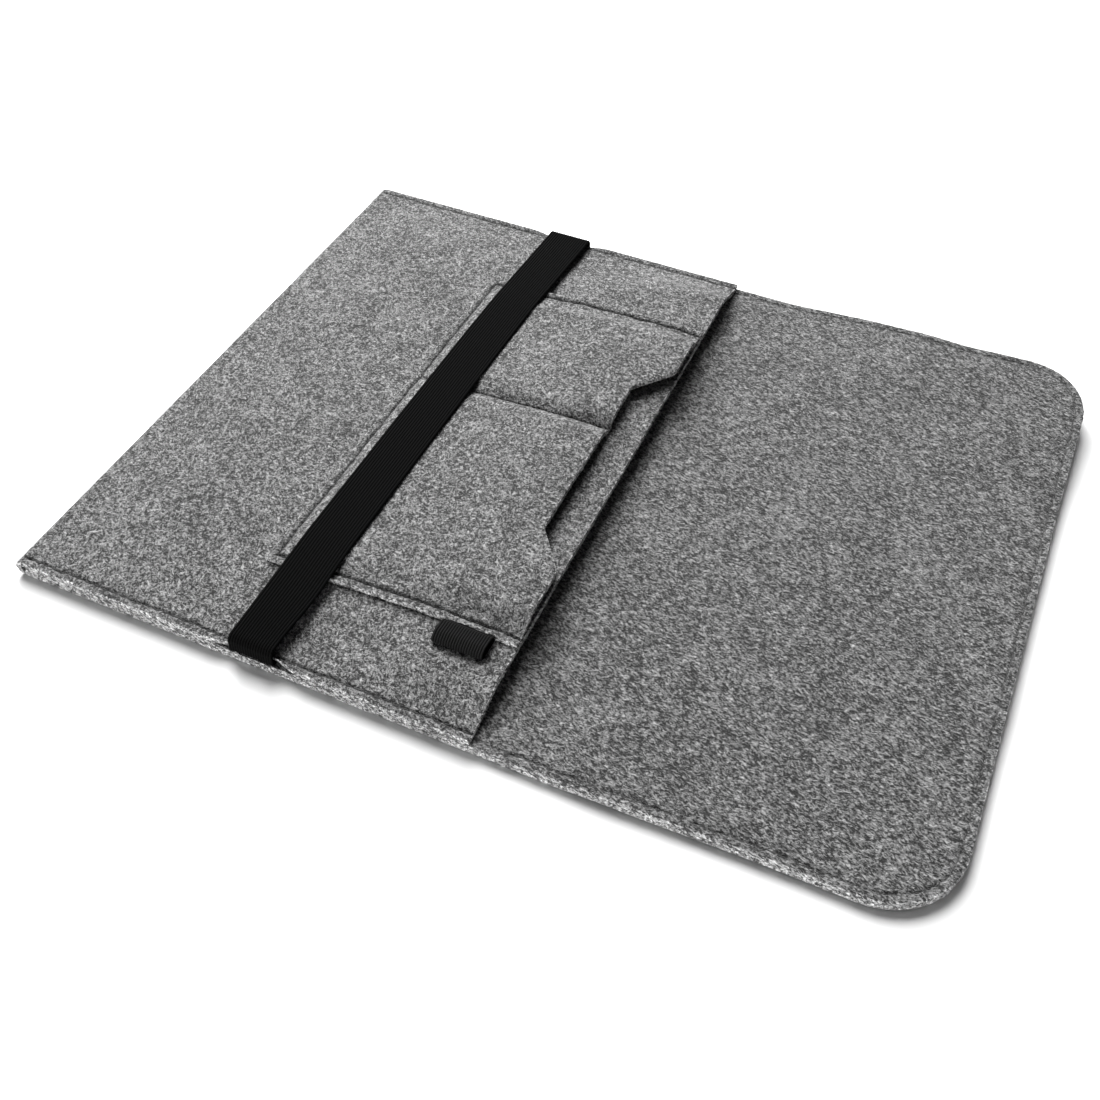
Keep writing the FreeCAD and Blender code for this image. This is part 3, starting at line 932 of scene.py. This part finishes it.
def strap_piece(name, line, tilt, cap_low, cap_high, seed):
    """Strap cloth along a middle line in X and Z. line runs towards +X on top."""
    line = np.asarray(line)
    count = len(line)
    mid = np.zeros((count, len(strap_w), 3))
    mid[..., 0] = line[:, None, 0]
    mid[..., 1] = strap_y(line[:, None, 0], strap_w[None, :])
    mid[..., 2] = line[:, None, 1] + np.asarray(tilt)[:, None] * strap_w[None, :]
    # Columns run along +Y, rows along the line, so quads are turned to face up.
    quads = grid_quads(count, len(strap_w))[:, ::-1]
    thick = edge_thickness(strap_w, STRAP_HALF, 0.7)
    up = (STRAP_T / 2 - 0.30 + RIB_RISE * strap_ribs) * thick
    down = (STRAP_T / 2 - 0.10) * thick
    # Rib heights, which the elastic material turns into a painted highlight on the crests.
    crest = np.tile(strap_ribs, count)

    def capped(p):
        index = np.arange(len(p)) // len(strap_w)
        return ((index == 0) & cap_low) | ((index == count - 1) & cap_high)

    return shell(
        name,
        mid.reshape(-1, 3),
        quads,
        strap_cloth,
        np.tile(up, count),
        np.tile(down, count),
        capped=capped,
        rim=0.18,
        fuzz=0.0,
        extra={"crest": (crest, 0.3)},
        seed=seed,
    )


# The strap's arched part ends here, and turns down.
LIFT_OUT = float(node_box("strap_side_right")[1][0])


def over_line(x0, x1, step):
    """Middle line of the arched strap in X and Z, and its tilt there."""
    xs = np.array(spaced([x0, x1], step))
    z = np.interp(xs, strap_xs, strap_base) + STRAP_T / 2
    return np.column_stack([xs, z]), np.interp(xs, strap_xs, strap_tilt)


# The middle rides with the strap's centre, and the rest goes over to the strap's sides.
CENTRE_X = 70.0
# Each end turns down past the hem's edge and goes in under the panel.
DOWN_X = HALF - 0.7
TAIL_END = (166.5, 6.0)
DOWN_BEND = 3.4
line, tilt = over_line(-CENTRE_X, CENTRE_X, 2.0)
strap_centre = strap_piece("strap_over_pocket", line, tilt, True, True, 51)
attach(strap_centre, "strap_centre")
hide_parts("strap_middle")
for side, word in ((-1, "left"), (1, "right")):
    a, b = sorted((side * CENTRE_X, side * LIFT_OUT))
    line, tilt = over_line(a, b, 1.2)
    piece = strap_piece("strap_slope_" + word, line, tilt, True, True, 52)
    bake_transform(piece)
    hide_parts("strap_side_" + word, "strap_middle")
    z_end = float(np.interp(side * LIFT_OUT, strap_xs, strap_base)) + STRAP_T / 2
    turns = [
        (LIFT_OUT, z_end),
        (DOWN_X, z_end - 0.3),
        (DOWN_X + 0.2, 7.1),
        (DOWN_X - 1.2, 6.05),
        TAIL_END,
    ]
    tail = rounded(turns, DOWN_BEND, 0.3) * np.array([side, 1.0])
    if side < 0:
        tail = tail[::-1]
    # The strap's tilt fades out over its shoulder.
    above_hem = np.abs(tail[:, 0]) * (tail[:, 1] > 8.9)
    fade = np.interp(above_hem, [0, LIFT_OUT - 0.1, LIFT_OUT, DOWN_X], [0, 0, 1, 0])
    fade *= float(np.interp(side * LIFT_OUT, strap_xs, strap_tilt))
    piece = strap_piece("strap_hem_end_" + word, tail, fade, side > 0, side < 0, 53)
    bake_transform(piece)
    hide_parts("strap_end_" + word)


# ---------------------------------------------------------------- pen loop
LOOP_RIBS = 20
LOOP_T = 0.8
# The soft loop is wider than the plain one, towards the fold.
LOOP_WIDER = 4.0
loop_w, loop_ribs = rib_profile(float(loop_high[1] - loop_low[1]) + LOOP_WIDER, LOOP_RIBS)
loop_y = float(loop_low[1] + loop_high[1] - LOOP_WIDER) / 2
ground = float(panel_height(np.array(pocket_right + 5.0), np.array(loop_y)))
# From the lower tail under the pocket's edge, round the pen's place, and back to the upper tail.
loop_path = rounded(
    [
        (119.5, ground + 0.75),
        (139.6, ground + 0.60),
        (140.0, ground + 3.1),
        (136.2, ground + 5.0),
        (129.6, ground + 4.4),
        (127.2, ground + 1.75),
        (119.5, ground + 1.70),
    ],
    2.3,
    0.4,
)
loop_mid = np.zeros((len(loop_path), len(loop_w), 3))
loop_mid[..., 0] = loop_path[:, None, 0]
loop_mid[..., 1] = loop_y + loop_w[None, :]
loop_mid[..., 2] = loop_path[:, None, 1]
loop_thick = edge_thickness(loop_w, np.abs(loop_w).max(), 0.6)
loop_out = (LOOP_T / 2 - 0.25 + 0.42 * loop_ribs) * loop_thick
# The crest attribute gives the loop's ribs a painted highlight.
pen_loop = shell(
    "pen_loop_elastic",
    loop_mid.reshape(-1, 3),
    grid_quads(len(loop_path), len(loop_w)),
    loop_cloth,
    np.tile(loop_out, len(loop_path)),
    np.tile((LOOP_T / 2 - 0.1) * loop_thick, len(loop_path)),
    rim=0.12,
    fuzz=0.0,
    extra={"crest": (np.tile(loop_ribs, len(loop_path)), 0.3)},
    seed=61,
)
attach(pen_loop, "sleeve")
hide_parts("pen_loop")


# ---------------------------------------------------------------- stitches
rng = np.random.default_rng(7)


def stitch_mesh(places, length, thick):
    """Short thread bows: places holds a point, the stitch's direction and the way up for each."""
    sides, steps = 6, 6
    points, faces = [], []
    for point, direction, up_way in places:
        point, direction, up_way = map(np.asarray, (point, direction, up_way))
        direction = direction / np.linalg.norm(direction)
        across_way = np.cross(up_way, direction)
        length_now = length * rng.uniform(0.92, 1.06)
        yaw = rng.normal(0, 0.05)
        direction = direction * math.cos(yaw) + across_way * math.sin(yaw)
        across_way = np.cross(up_way, direction)
        base = len(points)
        for s in range(steps + 1):
            t = s / steps * 2 - 1
            bow = thick * (0.35 - 1.5 * t ** 4)
            width = thick * (1 - 0.55 * t ** 6)
            centre = point + direction * (t * length_now / 2) + up_way * bow
            for k in range(sides):
                a = math.tau * k / sides
                points.append(centre + (across_way * math.cos(a) + up_way * math.sin(a) * 0.8) * width / 2)
        for s in range(steps):
            for k in range(sides):
                a, b = base + s * sides + k, base + s * sides + (k + 1) % sides
                faces.append([a, b, b + sides, a + sides])
        faces.append([base + k for k in range(sides)][::-1])
        faces.append([base + steps * sides + k for k in range(sides)])
    return points, faces


def thread_piece(name, places, nodes, slot_name, length, thick=0.55):
    """Row of stitches as one object, which stands for the given thread nodes."""
    points, faces = stitch_mesh(places, length, thick)
    thread = felt_thread if slot_name == "grey_thread" else dark_thread
    obj = make_object(name, points, faces, thread, sharp=70)
    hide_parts(*nodes)
    return obj


def stations(y0, y1, pitch):
    """Middles of the stitches between the needle holes of a straight row."""
    first = math.ceil(y0 / pitch)
    last = math.floor(y1 / pitch)
    return [(k + 0.5) * pitch for k in range(first, last)]


UP = (0, 0, 1)
DOWN = (0, 0, -1)
# Stitches lie this deep in their channel on top, and this high in it on the underside.
SUNK = 0.8
UNDER_Z = 0.55
STITCH = 4.1
POCKET_STITCH = 3.1
for side, word in ((-1, "left"), (1, "right")):
    places = []
    for y in stations(hem_y + 1, MOUTH - 0.5, FELT_PITCH):
        x = side * (seam_x + float(wander(y, 3)))
        if abs(y - strap_mid_y) > STRAP_HALF + 1.5:
            z = float(panel_height(np.array(x), np.array(y)))
            places.append(((x, y, z - SUNK), (0, 1, 0), UP))
        places.append(((x, y, UNDER_Z), (0, 1, 0), DOWN))
    piece = thread_piece("stitches_side_" + word, places, ["side_thread_" + word], "grey_thread", STITCH)
    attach(piece, "sleeve")

spine_places = []
for side in (-1, 1):
    for y in stations(MOUTH, SPLIT, FELT_PITCH):
        x = side * (seam_x + float(wander(y, 3)))
        spine_places.append(((x, y, LINING_TOP - SUNK), (0, 1, 0), UP))
        spine_places.append(((x, y, UNDER_Z), (0, 1, 0), DOWN))
piece = thread_piece("stitches_spine", spine_places, ["spine_thread"], "grey_thread", STITCH)
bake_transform(piece)

flap_places = []
for side in (-1, 1):
    for y in stations(SPLIT, TIP - CORNER, FELT_PITCH):
        flap_places.append((side * (seam_x + float(wander(y, 3))), y, 0.0, 1.0))
corner_y = TIP - CORNER
corner_length = math.pi / 2 * (CORNER - SEAM)
for side in (-1, 1):
    for s in stations(corner_y, corner_y + corner_length, FELT_PITCH):
        seam_r = CORNER - SEAM + float(wander(s, 3))
        a = (s - corner_y) / (CORNER - SEAM)
        x = side * (HALF - CORNER + seam_r * math.cos(a))
        y = corner_y + seam_r * math.sin(a)
        flap_places.append((x, y, -side * math.sin(a), math.cos(a)))
for x in stations(-(HALF - CORNER), HALF - CORNER, FELT_PITCH):
    flap_places.append((x, TIP - SEAM + float(wander(abs(x), 3)), 1.0, 0.0))
places = []
for x, y, dx, dy in flap_places:
    z = float(flap_lift(np.array(x), np.array(y)))
    x = float(tapered(x, y))
    places.append(((x, y, LINING_TOP + z - SUNK), (dx, dy, 0), UP))
    places.append(((x, y, UNDER_Z + z), (dx, dy, 0), DOWN))
piece = thread_piece("stitches_flap", places, ["flap_thread"], "grey_thread", STITCH)
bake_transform(piece)

places = []
for y in stations(pocket_start + SEAM, MOUTH - 1, POCKET_PITCH):
    inset_now = SEAM - float(wander(y, 5, 0.25))
    places.append((pocket_left + inset_now, y, 0.0, 1.0))
    places.append((pocket_right - inset_now, y, 0.0, 1.0))
for x in stations(pocket_left + SEAM, pocket_right - SEAM, POCKET_PITCH):
    places.append((x, pocket_start + SEAM - float(wander(x, 5, 0.25)), 1.0, 0.0))
divider_end = float(pocket_mouth(np.array(divider))) - 1
divider_places = []
for y in stations(pocket_start + SEAM + 1, divider_end, POCKET_PITCH):
    divider_places.append((divider + float(wander(y, 6, 0.2)), y, 0.0, 1.0))
for name, row, nodes in (
    ("stitches_pocket", places, ["pocket_thread"]),
    ("stitches_divider", divider_places, ["divider_thread"]),
):
    on_patch = []
    for x, y, dx, dy in row:
        z = float(pocket_height(np.array(x), np.array(y)))
        on_patch.append(((x, y, z - SUNK - 0.1), (dx, dy, 0), UP))
    piece = thread_piece(name, on_patch, nodes, "black_thread", POCKET_STITCH, 0.5)
    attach(piece, "sleeve")


# ---------------------------------------------------------------- stage, light and camera
floor_mesh = bpy.data.meshes.new("floor")
FLOOR = 6.0
floor_corners = [(-FLOOR, -FLOOR, 0), (FLOOR, -FLOOR, 0), (FLOOR, FLOOR, 0), (-FLOOR, FLOOR, 0)]
floor_mesh.from_pydata(floor_corners, [], [(0, 1, 2, 3)])
floor = bpy.data.objects.new("floor", floor_mesh)
bpy.context.scene.collection.objects.link(floor)
floor.location.z = -0.0002
floor_material, floor_nodes, floor_links = new_material("pale_floor")
floor_shader = floor_nodes.new("ShaderNodeBsdfPrincipled")
floor_shader.inputs["Base Color"].default_value = (0.9, 0.9, 0.9, 1)
floor_shader.inputs["Roughness"].default_value = 0.9
floor_shader.inputs["Specular IOR Level"].default_value = 0.0
floor_out = floor_nodes.new("ShaderNodeOutputMaterial")
floor_links.new(floor_shader.outputs[0], floor_out.inputs[0])
floor_mesh.materials.append(floor_material)

world = bpy.data.worlds.new("studio")
world.use_nodes = True
world.node_tree.nodes["Background"].inputs["Color"].default_value = (1, 1, 1, 1)
world.node_tree.nodes["Background"].inputs["Strength"].default_value = 0.05
bpy.context.scene.world = world


def lamp(name, kind, place, power):
    """Light that shines from its place towards the middle of the sleeve."""
    data = bpy.data.lights.new(name, kind)
    data.energy = power
    obj = bpy.data.objects.new(name, data)
    obj.location = place
    obj.rotation_mode = "QUATERNION"
    obj.rotation_quaternion = (-Vector(place)).to_track_quat("-Z", "Y")
    bpy.context.scene.collection.objects.link(obj)
    return data


key = lamp("key", "SUN", (-0.78, -0.63, 1.22), 4.9)
key.angle = math.radians(38)
side_light = lamp("side_light", "AREA", (-0.80, -0.70, 0.66), 27)
side_light.shape = "DISK"
side_light.size = 0.7
low_fill = lamp("low_fill", "AREA", (1.8, -0.2, 0.10), 34)
low_fill.shape = "RECTANGLE"
low_fill.size = 1.6
low_fill.size_y = 0.14

cam_data = bpy.data.cameras.new("camera")
cam_data.sensor_width = 36.0
cam_data.lens = 40.96
cam_data.clip_start = 0.01
cam_data.clip_end = 50
camera = bpy.data.objects.new("camera", cam_data)
bpy.context.scene.collection.objects.link(camera)
azimuth, elevation, roll = math.radians(113.65), math.radians(48.31), math.radians(1.026)
CAMERA_PLACE = (0.42607, 0.16553, 0.45454)
# Backwards from the camera, and its right and up, turned by the roll.
level = math.cos(elevation)
back = Vector((math.sin(azimuth) * level, -math.cos(azimuth) * level, math.sin(elevation)))
right = (-back).cross(Vector((0, 0, 1))).normalized()
above = right.cross(-back)
axis_x = right * math.cos(roll) + above * math.sin(roll)
axis_y = above * math.cos(roll) - right * math.sin(roll)
camera.matrix_world = Matrix(
    (
        (axis_x.x, axis_y.x, back.x, CAMERA_PLACE[0]),
        (axis_x.y, axis_y.y, back.y, CAMERA_PLACE[1]),
        (axis_x.z, axis_y.z, back.z, CAMERA_PLACE[2]),
        (0, 0, 0, 1),
    )
)
bpy.context.scene.camera = camera
bpy.context.scene.view_settings.view_transform = "Standard"
